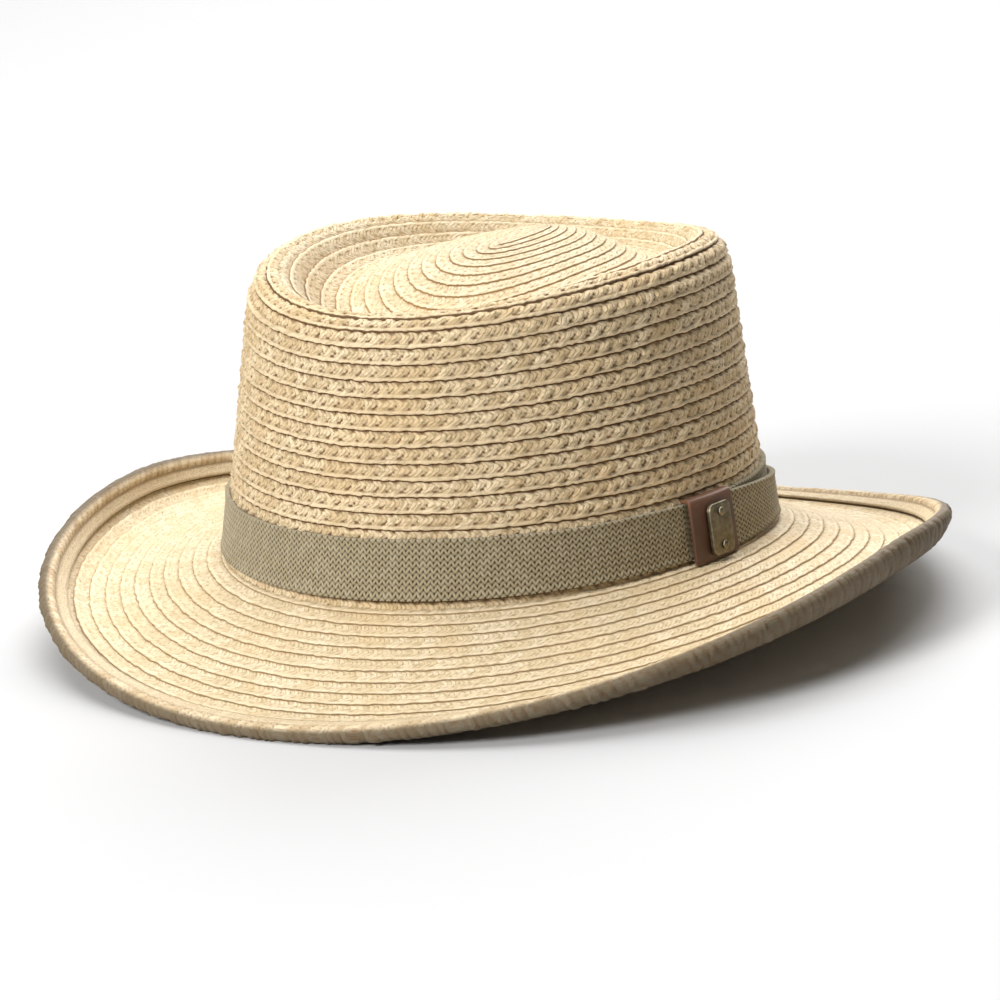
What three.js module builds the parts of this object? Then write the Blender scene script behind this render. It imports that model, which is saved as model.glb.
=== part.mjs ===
// A straw gambler hat: sewn straw braid, an oval telescoped crown, a brim curled up at both sides and
// dipped at the front and back, a knitted band with a loose lap, and a leather keeper with a plain plate.
// Millimetres, +Z up, the front of the hat faces -Y and the wearer's left is +X. The hat stands on the
// front and back dips of its brim, so Z = 0 is the surface that it rests on.
import * as THREE from "three";

// Clear space between pieces that touch on the real hat.
const GAP = 0.3;

// Straw shell: the oval where the crown meets the brim, measured on the outside of the straw.
const STRAW = 2.2;
const HEAD_HALF_WIDTH = 87.5;
const HEAD_FRONT = 110.5;
const HEAD_BACK = 98;
const HEAD_LINE_SIDE = 29;

// Crown: height of its top edge over the head line, reach of its top edge, and the edge's rounding.
const CROWN_SIDE = 96;
const CROWN_FRONT = 90.5;
const CROWN_BACK = 95.5;
const TOP_HALF_WIDTH = 74.5;
const TOP_FRONT = 97.5;
const TOP_BACK = 91;
const TOP_ROUNDING = 8;

// Recess in the top: depth of the valley below the edge, and the raised oval island inside it.
const VALLEY_FRONT = 16.5;
const VALLEY_SIDE = 11;
const VALLEY_BACK = 7;
const ISLAND_SETBACK = 23;
const ISLAND_HEIGHT = 123;

// Brim: width along its curved section, and the slope at the crown and at the outer edge, in degrees.
const BRIM_WIDTH = 65.5;
const ROOT_SLOPE = { side: -12, front: -28, back: -23 };
const EDGE_SLOPE = { side: 112, front: 14, back: 26 };
const CURL_START = 0.34;
const CURL_POWER = 3;
const SLOPE_SPREAD = 1.6;
const HEIGHT_SPREAD = 2;

// Braid folded over the brim's edge, and how much its dips are flattened where the hat rests.
const EDGE_WIDTH = 9;
const EDGE_LEAF = 1.2;
const REST_FLATTENING = 0.5;

// Knitted band, the heights of its top over the head line and of its foot over the brim, and the lap
// of it that stands off the crown behind the keeper, angles in degrees.
const BAND_TOP = { side: 18.7, front: 22, back: 18.2 };
const BAND_FOOT = { side: 0, front: 3.5, back: 0 };
const BAND_SPREAD = 1.4;
const BAND_THICKNESS = 1.2;
const LAP_STAND_OFF = 1.4;
const LAP_END = 40;
const LAP_DROP = 6;
const LAP_RISE = 1.5;

// Leather keeper on the wearer's left side, between two places along Y, and the plain metal plate on
// it, its middle's place along Y and its height over the head line.
const KEEPER_FRONT = -32;
const KEEPER_BACK = -8.5;
const LEATHER = 1.3;
const PLATE_MIDDLE = -19.5;
const PLATE_LEVEL = 9.4;
const PLATE_WIDTH = 12;
const PLATE_HEIGHT = 17;
const PLATE_THICKNESS = 1.8;
const PLATE_CORNER = 2;
const PLATE_BEVEL = 0.5;
const RIVET_RADIUS = 1.5;
const RIVET_HEIGHT = 0.8;
const RIVET_SPACING = 11;

const AROUND = 60;
const FULL_TURN = 2 * Math.PI;

const COLOURS = {
  straw: { color: 0xdcc79a, roughness: 0.75, metalness: 0 },
  edge: { color: 0xd2bb8a, roughness: 0.75, metalness: 0 },
  knit: { color: 0xa39b82, roughness: 0.95, metalness: 0 },
  leather: { color: 0x6e4a35, roughness: 0.6, metalness: 0 },
  metal: { color: 0x8f8666, roughness: 0.35, metalness: 1 },
};

function lerp(from, to, share) {
  return from + (to - from) * share;
}

function degrees(value) {
  return (value * Math.PI) / 180;
}

// Mixes a value at the side into its front or back value, going round the hat. Angle 0 is the
// wearer's left, and -90 degrees is the front.
function aroundHat(angle, values, power) {
  const across = Math.sin(angle);
  const end = across < 0 ? values.front : values.back;
  return lerp(values.side, end, Math.abs(across) ** power);
}

function ovalPoint(angle, reach, z) {
  const across = Math.sin(angle);
  const along = across < 0 ? reach.front : reach.back;
  return new THREE.Vector3(reach.side * Math.cos(angle), along * across, z);
}

function grown(reach, amount) {
  return { side: reach.side + amount, front: reach.front + amount, back: reach.back + amount };
}

function mixedReach(first, second, share) {
  return {
    side: lerp(first.side, second.side, share),
    front: lerp(first.front, second.front, share),
    back: lerp(first.back, second.back, share),
  };
}

const HEAD = { side: HEAD_HALF_WIDTH, front: HEAD_FRONT, back: HEAD_BACK };
const TOP = { side: TOP_HALF_WIDTH, front: TOP_FRONT, back: TOP_BACK };

// Slope of the brim's section at a distance from the head line.
function brimSlope(angle, distance) {
  const root = aroundHat(angle, ROOT_SLOPE, SLOPE_SPREAD);
  const edge = aroundHat(angle, EDGE_SLOPE, SLOPE_SPREAD);
  const share = distance / BRIM_WIDTH;
  const curl = Math.max(0, (share - CURL_START) / (1 - CURL_START)) ** CURL_POWER;
  return degrees(lerp(root, edge, curl));
}

// Reach and height gained from the head line to a point of the brim's section, and lift is the
// point's distance above the brim's top face.
function brimOffset(angle, distance, lift) {
  const steps = 24;
  const step = distance / steps;
  let reach = 0;
  let height = 0;
  for (let i = 0; i < steps; i += 1) {
    const slope = brimSlope(angle, (i + 0.5) * step);
    reach += Math.cos(slope) * step;
    height += Math.sin(slope) * step;
  }
  const slope = brimSlope(angle, distance);
  return { reach: reach - lift * Math.sin(slope), height: height + lift * Math.cos(slope) };
}

const EDGE_UNDERSIDE = -(STRAW + GAP + EDGE_LEAF);

// Height of the head line that lets the dip at this angle rest on the ground, a little flattened.
function headLineOverDip(angle) {
  let lowest = 0;
  const samples = 36;
  for (let i = 0; i <= samples; i += 1) {
    const distance = lerp(BRIM_WIDTH - EDGE_WIDTH, BRIM_WIDTH, i / samples);
    lowest = Math.min(lowest, brimOffset(angle, distance, EDGE_UNDERSIDE).height);
  }
  return -lowest - REST_FLATTENING;
}

const HEAD_LINE = {
  side: HEAD_LINE_SIDE,
  front: headLineOverDip(-Math.PI / 2),
  back: headLineOverDip(Math.PI / 2),
};

function headLine(angle) {
  return aroundHat(angle, HEAD_LINE, HEIGHT_SPREAD);
}

function brimPoint(angle, distance, lift) {
  const offset = brimOffset(angle, distance, lift);
  return ovalPoint(angle, grown(HEAD, offset.reach), headLine(angle) + offset.height);
}

// Crown height over the head line, and a point on its wall, out from the wall by a distance.
function crownHeight(angle) {
  return aroundHat(angle, { side: CROWN_SIDE, front: CROWN_FRONT, back: CROWN_BACK }, HEIGHT_SPREAD);
}

function wallPoint(angle, height, out) {
  const share = height / crownHeight(angle);
  return ovalPoint(angle, grown(mixedReach(HEAD, TOP, share), out), headLine(angle) + height);
}

// Top of the crown from its edge inward: share of the way in, share of the valley's depth reached,
// and share of the climb from the valley to the island's middle.
const RECESS = [
  [0.04, 0.07, 0],
  [0.09, 0.29, 0],
  [0.15, 0.66, 0],
  [0.21, 0.92, 0],
  [0.27, 1, 0],
  [0.34, 1, 0.08],
  [0.44, 1, 0.3],
  [0.56, 1, 0.58],
  [0.7, 1, 0.82],
  [0.85, 1, 0.95],
];

function recessPoint(angle, inward, depthShare, climbShare, below) {
  const edge = headLine(angle) + crownHeight(angle);
  const depth = aroundHat(angle, { side: VALLEY_SIDE, front: VALLEY_FRONT, back: VALLEY_BACK }, HEIGHT_SPREAD);
  const valley = edge - depth * depthShare;
  const point = ovalPoint(angle, grown(TOP, -TOP_ROUNDING), 0);
  point.multiplyScalar(1 - inward);
  point.y += ISLAND_SETBACK * inward;
  point.z = lerp(valley, ISLAND_HEIGHT, climbShare) - below;
  return point;
}

// Turns a grid of rows of points into triangles; rows that close on themselves wrap round.
class Skin {
  constructor() {
    this.positions = [];
    this.triangles = [];
  }

  addPoint(point) {
    this.positions.push(point.x, point.y, point.z);
    return this.positions.length / 3 - 1;
  }

  addRow(points) {
    return points.map((point) => this.addPoint(point));
  }

  joinRows(lower, upper, wraps) {
    const count = wraps ? lower.length : lower.length - 1;
    for (let i = 0; i < count; i += 1) {
      const next = (i + 1) % lower.length;
      this.triangles.push(lower[i], lower[next], upper[next], lower[i], upper[next], upper[i]);
    }
  }

  joinToPoint(row, tip) {
    for (let i = 0; i < row.length; i += 1) {
      this.triangles.push(row[i], row[(i + 1) % row.length], tip);
    }
  }

  joinPointTo(tip, row) {
    for (let i = 0; i < row.length; i += 1) {
      this.triangles.push(row[(i + 1) % row.length], row[i], tip);
    }
  }

  toGeometry() {
    const geometry = new THREE.BufferGeometry();
    geometry.setAttribute("position", new THREE.Float32BufferAttribute(this.positions, 3));
    geometry.setIndex(this.triangles);
    geometry.computeVertexNormals();
    return geometry;
  }
}

function hatAngles() {
  return Array.from({ length: AROUND }, (_, i) => (i / AROUND) * FULL_TURN);
}

function shares(count) {
  return Array.from({ length: count + 1 }, (_, i) => i / count);
}

// A ring whose section, a closed loop of points, is swept round the hat. The loop runs so that the
// solid lies on its left, seen with outward to the right and up at the top.
function ringGeometry(sectionAt) {
  const skin = new Skin();
  const sections = hatAngles().map((angle) => skin.addRow(sectionAt(angle)));
  sections.forEach((section, i) => {
    const following = sections[(i + 1) % sections.length];
    skin.joinRows(following, section, true);
  });
  return skin.toGeometry();
}

// A strip whose section is swept between two angles, with flat ends.
function stripGeometry(angles, sectionAt) {
  const skin = new Skin();
  const sections = angles.map((angle) => skin.addRow(sectionAt(angle)));
  for (let i = 0; i + 1 < sections.length; i += 1) {
    skin.joinRows(sections[i + 1], sections[i], true);
  }
  const capEnd = (section, isFirst) => {
    const corners = section.map((index) => new THREE.Vector3().fromArray(skin.positions, 3 * index));
    const across = corners[0].clone().sub(corners[corners.length - 1]).normalize();
    const normal = new THREE.Vector3();
    corners.forEach((corner, i) => {
      normal.add(corner.clone().cross(corners[(i + 1) % corners.length]));
    });
    normal.normalize();
    const up = normal.clone().cross(across);
    const flat = corners.map((corner) => new THREE.Vector2(corner.dot(across), corner.dot(up)));
    THREE.ShapeUtils.triangulateShape(flat, []).forEach(([a, b, c]) => {
      const face = [section[a], section[b], section[c]];
      skin.triangles.push(...(isFirst ? face : face.reverse()));
    });
  };
  capEnd(sections[0], true);
  capEnd(sections[sections.length - 1], false);
  return skin.toGeometry();
}

// The crown's wall and rounded edge, one ring that ends at the top of the rounding.
function crownWallGeometry() {
  const faceAt = (angle, inside) => {
    const seat = brimPoint(angle, -inside, 0).z - headLine(angle) + GAP;
    const foot = wallPoint(angle, seat, -inside);
    const radius = TOP_ROUNDING - inside;
    const rounding = shares(4).map((share) => {
      const bend = share * 0.5 * Math.PI;
      const height = crownHeight(angle) - TOP_ROUNDING + radius * Math.sin(bend);
      return ovalPoint(angle, grown(TOP, radius * Math.cos(bend) - TOP_ROUNDING), headLine(angle) + height);
    });
    const shoulder = wallPoint(angle, 0.92 * (crownHeight(angle) - TOP_ROUNDING), -inside);
    return [foot, shoulder, ...rounding];
  };
  return ringGeometry((angle) => [...faceAt(angle, 0), ...faceAt(angle, STRAW).toReversed()]);
}

// The recessed top, a dish whose rim meets the end of the wall's rounding.
function crownTopGeometry() {
  const skin = new Skin();
  const angles = hatAngles();
  // One face of the dish, from its rim to the island, "inside" millimetres under the surface.
  const face = (inside) => {
    const rim = angles.map((angle) => ovalPoint(
      angle,
      grown(TOP, -TOP_ROUNDING - GAP),
      headLine(angle) + crownHeight(angle) - inside,
    ));
    const rows = RECESS.map(([inward, depth, climb]) => (
      angles.map((angle) => recessPoint(angle, inward, depth, climb, inside))
    ));
    return [rim, ...rows].map((row) => skin.addRow(row));
  };
  const outer = face(0);
  const inner = face(STRAW);
  for (let i = 0; i + 1 < outer.length; i += 1) {
    skin.joinRows(outer[i], outer[i + 1], true);
    skin.joinRows(inner[i + 1], inner[i], true);
  }
  skin.joinRows(inner[0], outer[0], true);
  const middle = new THREE.Vector3(0, ISLAND_SETBACK, ISLAND_HEIGHT);
  skin.joinToPoint(outer[outer.length - 1], skin.addPoint(middle));
  middle.z -= STRAW;
  skin.joinPointTo(skin.addPoint(middle), inner[inner.length - 1]);
  return skin.toGeometry();
}

// Distances from the head line at which the braid's channel and the brim's edge inside it bend.
const CHANNEL_START = BRIM_WIDTH - EDGE_WIDTH;
const CHANNEL_END = BRIM_WIDTH - EDGE_LEAF;
const CHANNEL_STEPS = shares(4).map((share) => lerp(CHANNEL_START, CHANNEL_END, share));

function brimGeometry() {
  const outerEnd = CHANNEL_END - GAP;
  const outward = [
    ...shares(8).map((share) => lerp(-STRAW, CHANNEL_START, share)),
    ...CHANNEL_STEPS.slice(1, -1),
    outerEnd,
  ];
  const inward = outward.toReversed();
  return ringGeometry((angle) => [
    ...outward.map((distance) => brimPoint(angle, distance, -STRAW)),
    ...inward.map((distance) => brimPoint(angle, distance, 0)),
  ]);
}

// The folded braid wraps the brim's edge as a narrow U, and its underside is flattened at Z = 0.
function edgeBraidGeometry() {
  const above = GAP + EDGE_LEAF;
  const half = (above - EDGE_UNDERSIDE) / 2;
  const middle = (above + EDGE_UNDERSIDE) / 2;
  const nose = [-0.4, 0, 0.4].map((share) => {
    const bend = share * Math.PI;
    return [BRIM_WIDTH - half * (1 - Math.cos(bend)), middle + half * Math.sin(bend)];
  });
  const leaf = CHANNEL_STEPS.slice(0, -1);
  const outline = [
    ...leaf.map((distance) => [distance, EDGE_UNDERSIDE]),
    ...nose,
    ...leaf.toReversed().map((distance) => [distance, above]),
    ...CHANNEL_STEPS.map((distance) => [distance, GAP]),
    ...CHANNEL_STEPS.toReversed().map((distance) => [distance, -STRAW - GAP]),
  ];
  return ringGeometry((angle) => outline.map(([distance, lift]) => {
    const point = brimPoint(angle, distance, lift);
    if (point.z < REST_FLATTENING) {
      point.z = 0;
    }
    return point;
  }));
}

// Section of a cloth layer on the crown's wall: a bottom that clears the brim, and a top height.
function layerSection(angle, out, thickness, bottomRise, top) {
  const bottomAt = (reach) => brimPoint(angle, reach, 0).z - headLine(angle) + GAP + bottomRise;
  const steps = shares(2);
  const outerFoot = bottomAt(out + thickness);
  const innerFoot = bottomAt(out);
  return [
    ...steps.map((share) => wallPoint(angle, lerp(outerFoot, top, share), out + thickness)),
    ...steps.toReversed().map((share) => wallPoint(angle, lerp(innerFoot, top, share), out)),
  ];
}

function bandTop(angle) {
  return aroundHat(angle, BAND_TOP, BAND_SPREAD);
}

function bandFoot(angle) {
  return aroundHat(angle, BAND_FOOT, BAND_SPREAD);
}

function bandGeometry() {
  return ringGeometry((angle) => layerSection(angle, GAP, BAND_THICKNESS, bandFoot(angle), bandTop(angle)));
}

const LAP_OUT = GAP + BAND_THICKNESS + GAP;
const KEEPER_OUT = LAP_OUT + BAND_THICKNESS + GAP;

// Angle on the wearer's left side at which the band's outside is a distance along Y.
function sideAngle(alongY) {
  return Math.asin(alongY / (alongY < 0 ? HEAD_FRONT : HEAD_BACK));
}

// The lap lies flat under the keeper, arches off the band behind it and comes back to the band.
function bandLapGeometry() {
  const start = sideAngle(KEEPER_FRONT + GAP);
  const rise = sideAngle(KEEPER_BACK);
  const end = degrees(LAP_END);
  const angles = shares(22).map((share) => lerp(start, end, share));
  return stripGeometry(angles, (angle) => {
    const along = Math.min(1, Math.max(0, (angle - rise) / (end - rise)));
    const arch = Math.sin(Math.PI * along) ** 1.5;
    const out = LAP_OUT + LAP_STAND_OFF * arch;
    const footRise = bandFoot(angle) + LAP_RISE * arch;
    return layerSection(angle, out, BAND_THICKNESS, footRise, bandTop(angle) - LAP_DROP * along);
  });
}

// The keeper covers the band and folds over its top edge onto the crown.
function keeperGeometry() {
  const angles = shares(8).map((share) => sideAngle(lerp(KEEPER_FRONT, KEEPER_BACK, share)));
  const outside = KEEPER_OUT + LEATHER;
  const fold = 0.4 * LEATHER;
  return stripGeometry(angles, (angle) => {
    const under = bandTop(angle) + GAP;
    const foot = (reach) => brimPoint(angle, reach, 0).z - headLine(angle) + GAP;
    return [
      [foot(outside), outside],
      [under, outside],
      [under + LEATHER - fold, outside - 0.3 * fold],
      [under + LEATHER, outside - fold],
      [under + LEATHER, GAP],
      [under, GAP],
      [under, KEEPER_OUT],
      [foot(KEEPER_OUT), KEEPER_OUT],
    ].map(([height, out]) => wallPoint(angle, height, out));
  });
}

// The plate is a flat block with rounded corners and a bevelled rim, made lying in XY, face up.
function plateGeometry() {
  const w = PLATE_HEIGHT / 2 - PLATE_BEVEL;
  const h = PLATE_WIDTH / 2 - PLATE_BEVEL;
  const r = PLATE_CORNER;
  const outline = new THREE.Shape();
  outline.moveTo(-w + r, -h);
  outline.lineTo(w - r, -h);
  outline.absarc(w - r, -h + r, r, -Math.PI / 2, 0, false);
  outline.absarc(w - r, h - r, r, 0, Math.PI / 2, false);
  outline.absarc(-w + r, h - r, r, Math.PI / 2, Math.PI, false);
  outline.absarc(-w + r, -h + r, r, Math.PI, 1.5 * Math.PI, false);
  const geometry = new THREE.ExtrudeGeometry(outline, {
    depth: PLATE_THICKNESS - 2 * PLATE_BEVEL,
    bevelThickness: PLATE_BEVEL,
    bevelSize: PLATE_BEVEL,
    bevelSegments: 2,
    curveSegments: 5,
  });
  geometry.translate(0, 0, PLATE_BEVEL);
  return geometry;
}

function rivetGeometry() {
  const profile = [new THREE.Vector2(0, 0)];
  shares(4).forEach((share) => {
    const bend = share * 0.5 * Math.PI;
    profile.push(new THREE.Vector2(RIVET_RADIUS * Math.cos(bend), RIVET_HEIGHT * Math.sin(bend)));
  });
  profile[profile.length - 1].x = 0;
  const geometry = new THREE.LatheGeometry(profile, 16);
  geometry.rotateX(Math.PI / 2);
  return geometry;
}

function namedMesh(name, geometry, look) {
  const mesh = new THREE.Mesh(geometry, new THREE.MeshStandardMaterial(COLOURS[look]));
  mesh.name = name;
  return mesh;
}

// Plate and rivets sit together in a group that leans with the keeper's outer face.
function plateGroup() {
  const faceAt = (alongY, z) => wallPoint(sideAngle(alongY), z, KEEPER_OUT + LEATHER + GAP);
  const middle = faceAt(PLATE_MIDDLE, PLATE_LEVEL);
  const above = faceAt(PLATE_MIDDLE, 2 * PLATE_LEVEL);
  const frontEnd = faceAt(PLATE_MIDDLE - PLATE_WIDTH / 2, PLATE_LEVEL);
  const backEnd = faceAt(PLATE_MIDDLE + PLATE_WIDTH / 2, PLATE_LEVEL);
  const up = above.sub(middle).normalize();
  const along = backEnd.sub(frontEnd).projectOnPlane(up).normalize();
  const outward = along.clone().cross(up);
  const group = new THREE.Group();
  group.setRotationFromMatrix(new THREE.Matrix4().makeBasis(up, along.negate(), outward));
  group.position.copy(middle);
  group.add(namedMesh("tab_plate", plateGeometry(), "metal"));
  ["rivet_lower", "rivet_upper"].forEach((name, i) => {
    const rivet = namedMesh(name, rivetGeometry(), "metal");
    rivet.position.set((i - 0.5) * RIVET_SPACING, 0, PLATE_THICKNESS + GAP);
    group.add(rivet);
  });
  return group;
}

const hat = new THREE.Group();
hat.add(
  namedMesh("crown_wall", crownWallGeometry(), "straw"),
  namedMesh("crown_top", crownTopGeometry(), "straw"),
  namedMesh("brim", brimGeometry(), "straw"),
  namedMesh("edge_braid", edgeBraidGeometry(), "edge"),
  namedMesh("band", bandGeometry(), "knit"),
  namedMesh("band_lap", bandLapGeometry(), "knit"),
  namedMesh("leather_keeper", keeperGeometry(), "leather"),
  plateGroup(),
);

// The origin is on the resting surface, under the middle of the hat's outer box.
const middle = new THREE.Box3().setFromObject(hat).getCenter(new THREE.Vector3());
hat.position.set(-middle.x, -middle.y, 0);

export default hat;
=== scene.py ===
"""Straw gambler hat, dressed: sewn straw braid, knitted band, leather keeper and a plain metal plate.

All sizes are in metres. The front of the hat faces -Y, the wearer's left is +X, and it stands on Z = 0.
"""

import math
from functools import cache

import bpy
import numpy as np
from bpy.props import FloatProperty, FloatVectorProperty, PointerProperty
from mathutils import Matrix, Vector


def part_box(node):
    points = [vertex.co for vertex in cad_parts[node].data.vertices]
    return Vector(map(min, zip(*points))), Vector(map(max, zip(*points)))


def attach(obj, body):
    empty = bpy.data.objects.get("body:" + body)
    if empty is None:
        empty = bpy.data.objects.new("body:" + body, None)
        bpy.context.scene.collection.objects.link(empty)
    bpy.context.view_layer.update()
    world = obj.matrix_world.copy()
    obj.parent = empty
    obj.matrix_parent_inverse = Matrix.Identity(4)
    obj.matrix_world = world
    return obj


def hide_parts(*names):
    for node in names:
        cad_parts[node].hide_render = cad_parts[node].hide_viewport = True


bl_info = {
    "name": "Straw gambler hat",
    "version": (1, 0, 0),
    "blender": (4, 5, 0),
    "location": "3D View > Sidebar > Hat",
    "description": "Builds the straw gambler hat piece by piece over its fixed frame",
    "category": "Object",
}

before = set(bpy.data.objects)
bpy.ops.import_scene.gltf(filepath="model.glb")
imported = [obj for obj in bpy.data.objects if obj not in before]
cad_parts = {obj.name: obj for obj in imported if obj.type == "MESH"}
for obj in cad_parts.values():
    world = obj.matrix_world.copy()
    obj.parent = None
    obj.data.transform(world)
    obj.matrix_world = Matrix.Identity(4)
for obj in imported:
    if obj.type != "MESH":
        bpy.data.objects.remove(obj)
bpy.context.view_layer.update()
CAD_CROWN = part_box("crown_wall")

TAU = 2 * math.pi
MM = 0.001
WELD = 0.00001


def length(name, description, millimetres):
    return FloatProperty(
        name=name, description=description, default=millimetres * MM, unit="LENGTH", precision=5
    )


def factor(name, description, value):
    return FloatProperty(name=name, description=description, default=value)


def slope(name, description, degrees):
    return FloatProperty(
        name=name, description=description, default=math.radians(degrees), subtype="ANGLE"
    )


def colour(name, description, red, green, blue):
    return FloatVectorProperty(
        name=name, description=description, default=(red, green, blue), subtype="COLOR", min=0, max=1
    )


class HatShape(bpy.types.PropertyGroup):
    """Sizes of the hat's form, the same ones that its solids follow."""

    gap: length("Gap", "Clear space between touching pieces", 0.3)
    straw: length("Straw thickness", "Thickness of the straw shell", 2.2)
    head_half_width: length("Head half width", "Half width of the oval at the foot of the crown", 87.5)
    head_front: length("Head front", "Reach of that oval to the front", 110.5)
    head_back: length("Head back", "Reach of that oval to the back", 98)
    head_line_side: length("Head line", "Height of the crown's foot at the sides", 29)
    crown_side: length("Crown side", "Height of the crown's edge over its foot, at the sides", 96)
    crown_front: length("Crown front", "The same at the front", 90.5)
    crown_back: length("Crown back", "The same at the back", 95.5)
    top_half_width: length("Top half width", "Half width of the crown's top", 74.5)
    top_front: length("Top front", "Reach of the crown's top to the front", 97.5)
    top_back: length("Top back", "Reach of the crown's top to the back", 91)
    top_rounding: length("Top rounding", "Radius of the crown's upper edge", 8)
    valley_front: length("Front valley", "Depth of the valley behind the front edge", 16.5)
    valley_side: length("Side valley", "Depth of the valley at the sides", 11)
    valley_back: length("Back valley", "Depth of the valley at the back", 7)
    island_setback: length("Island setback", "How far back the island's middle is", 23)
    island_half_length: length("Island half length", "Half length of the braid's starting fold", 16)
    island_height: length("Island height", "Height of the island's middle", 123)
    brim_width: length("Brim width", "Width of the brim along its curve", 65.5)
    root_slope_side: slope("Side root slope", "Slope of the brim at the crown, sides", -12)
    root_slope_front: slope("Front root slope", "Slope of the brim at the crown, front", -28)
    root_slope_back: slope("Back root slope", "Slope of the brim at the crown, back", -23)
    edge_slope_side: slope("Side edge slope", "Slope of the brim's edge at the sides", 112)
    edge_slope_front: slope("Front edge slope", "Slope of the brim's edge at the front", 14)
    edge_slope_back: slope("Back edge slope", "Slope of the brim's edge at the back", 26)
    curl_start: factor("Curl start", "Share of the brim's width where it starts to curl", 0.34)
    curl_power: factor("Curl power", "How late the curl gathers", 3)
    slope_spread: factor("Slope spread", "How far the front and back slopes reach round", 1.6)
    height_spread: factor("Height spread", "How far the front and back heights reach round", 2)
    edge_width: length("Edge braid width", "Width of the braid folded over the edge", 9)
    edge_leaf: length("Edge braid leaf", "Thickness of each leaf of that braid", 1.2)
    rest_flattening: length("Rest flattening", "How much the dips are flattened where they rest", 0.5)
    band_top_side: length("Side band top", "Height of the band's top over the head line, sides", 18.7)
    band_top_front: length("Front band top", "The same at the front", 22)
    band_top_back: length("Back band top", "The same at the back", 18.2)
    band_foot_front: length("Front band foot", "How far the band's foot is lifted at the front", 3.5)
    band_spread: factor("Band spread", "How far the band's front and back heights reach round", 1.4)
    band_thickness: length("Band thickness", "Thickness of the knitted band", 1.2)
    lap_stand_off: length("Lap stand-off", "How far the loose lap stands off the band", 1.4)
    lap_end: slope("Lap end", "Angle round the hat where the lap ends", 40)
    lap_drop: length("Lap drop", "How much lower the lap's top is at its end", 6)
    lap_rise: length("Lap rise", "How much the lap's foot lifts where it stands off", 1.5)
    keeper_front: length("Keeper front", "Place of the leather keeper's front edge along Y", -32)
    keeper_back: length("Keeper back", "Place of its back edge along Y", -8.5)
    leather: length("Leather thickness", "Thickness of the keeper", 1.3)


class BraidSettings(bpy.types.PropertyGroup):
    """How the straw is plaited and sewn, and how the band is knitted."""

    crown_pitch: length("Crown row", "Height of a sewn row on the crown's side", 5.7)
    top_pitch: length("Top row", "Width of a sewn row on the crown's top, at the sides", 4.1)
    brim_pitch: length("Brim row", "Width of a sewn row on the brim", 5.2)
    plait: length("Plait", "Length of one leaf of the plait", 5.4)
    leaf_height: length("Leaf height", "How far a leaf of the plait stands up", 1.15)
    cord_height: length("Cord height", "How far the cord at a row's edge stands up", 0.85)
    lap_over: length("Row overlap", "Height of the step from one row to the next", 0.9)
    edge_strand: length("Edge strand", "Spacing of the strands of the folded edge braid", 3.4)
    stitch_width: length("Stitch width", "Width of a knitted stitch", 2.45)
    stitch_height: length("Stitch height", "Height of a knitted stitch", 1.9)
    stitch_depth: length("Stitch depth", "How far the yarn stands up", 0.6)


class HatColours(bpy.types.PropertyGroup):
    """Colours of the hat's materials. Pressed straw is that of the brim and the crown's top."""

    straw: colour("Straw", "Main colour of the crown's straw", 0.64, 0.47, 0.27)
    straw_pale: colour("Pale straw", "Palest strands of the crown", 0.84, 0.68, 0.45)
    pressed: colour("Pressed straw", "Main colour of the pressed straw", 0.7, 0.55, 0.34)
    pressed_pale: colour("Pale pressed straw", "Palest strands of the pressed straw", 0.82, 0.69, 0.48)
    straw_dull: colour("Dull straw", "Colour of the odd grey-brown strand", 0.42, 0.33, 0.17)
    # Painted shade over the turned-under side of the folded edge.
    straw_underside_shade: colour("Dusty straw", "Straw of the edge's underside, grey with wear", 0.09, 0.07, 0.042)
    straw_warm: colour("Warm straw", "Colour of warmer patches", 0.72, 0.5, 0.24)
    # Painted shade: the crown's pits, the shadow under each cord and the gaps between the edge's strands.
    straw_painted_shade: colour("Deep straw", "Colour down between the strands", 0.17, 0.08, 0.03)
    # Seam lines and specks of the pressed straw, and its painted shade in pits and under the row edges.
    straw_seam_and_shade: colour("Straw seam", "Colour of the seams where the straw is pressed", 0.43, 0.24, 0.085)
    knit: colour("Knit", "Yarn of the band", 0.36, 0.3, 0.185)
    knit_pale: colour("Pale knit", "Palest fluff of the yarn", 0.62, 0.56, 0.41)
    # Painted shade in the gaps between the stitches.
    knit_gap_shade: colour("Deep knit", "Colour between the stitches", 0.035, 0.026, 0.013)
    leather: colour("Leather", "Colour of the keeper", 0.085, 0.038, 0.02)
    # Paler colour towards the top of the keeper and in patches.
    leather_paler: colour("Worn leather", "Colour of the keeper's edges", 0.22, 0.1, 0.05)
    metal: colour("Metal", "Bright parts of the plate", 0.36, 0.31, 0.21)
    metal_dark: colour("Dark metal", "Patina in the plate's hollows", 0.07, 0.06, 0.035)
    floor: colour("Floor", "Colour of the floor and backdrop", 0.56, 0.56, 0.56)


class StageSettings(bpy.types.PropertyGroup):
    """The studio: where the camera stands and how bright the lights are."""

    azimuth: slope("Azimuth", "Camera's angle round the hat from the front", 28.084)
    elevation: slope("Elevation", "Camera's angle above the floor", 13.715)
    roll: slope("Roll", "Camera's tilt about its own line of sight", -2.199)
    distance: length("Distance", "Camera's distance from the point it looks at", 1449.3)
    target_height: length("Target height", "Height of the point the camera looks at", 40)
    lens: factor("Lens", "Focal length in millimetres on a 36 mm sensor", 153.88)
    shift_x: factor("Shift across", "Camera shift across, as a share of the frame", -0.00266)
    shift_y: factor("Shift up", "Camera shift up, as a share of the frame", -0.01277)
    key_power: factor("Key power", "Watts of the soft light overhead", 66)
    side_power: factor("Side power", "Watts of the soft light at the front left", 60)
    back_power: factor("Back power", "Watts of the soft light on the backdrop", 135)


# Form of the hat. Angle 0 is the wearer's left and a quarter turn back is the front.


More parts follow.
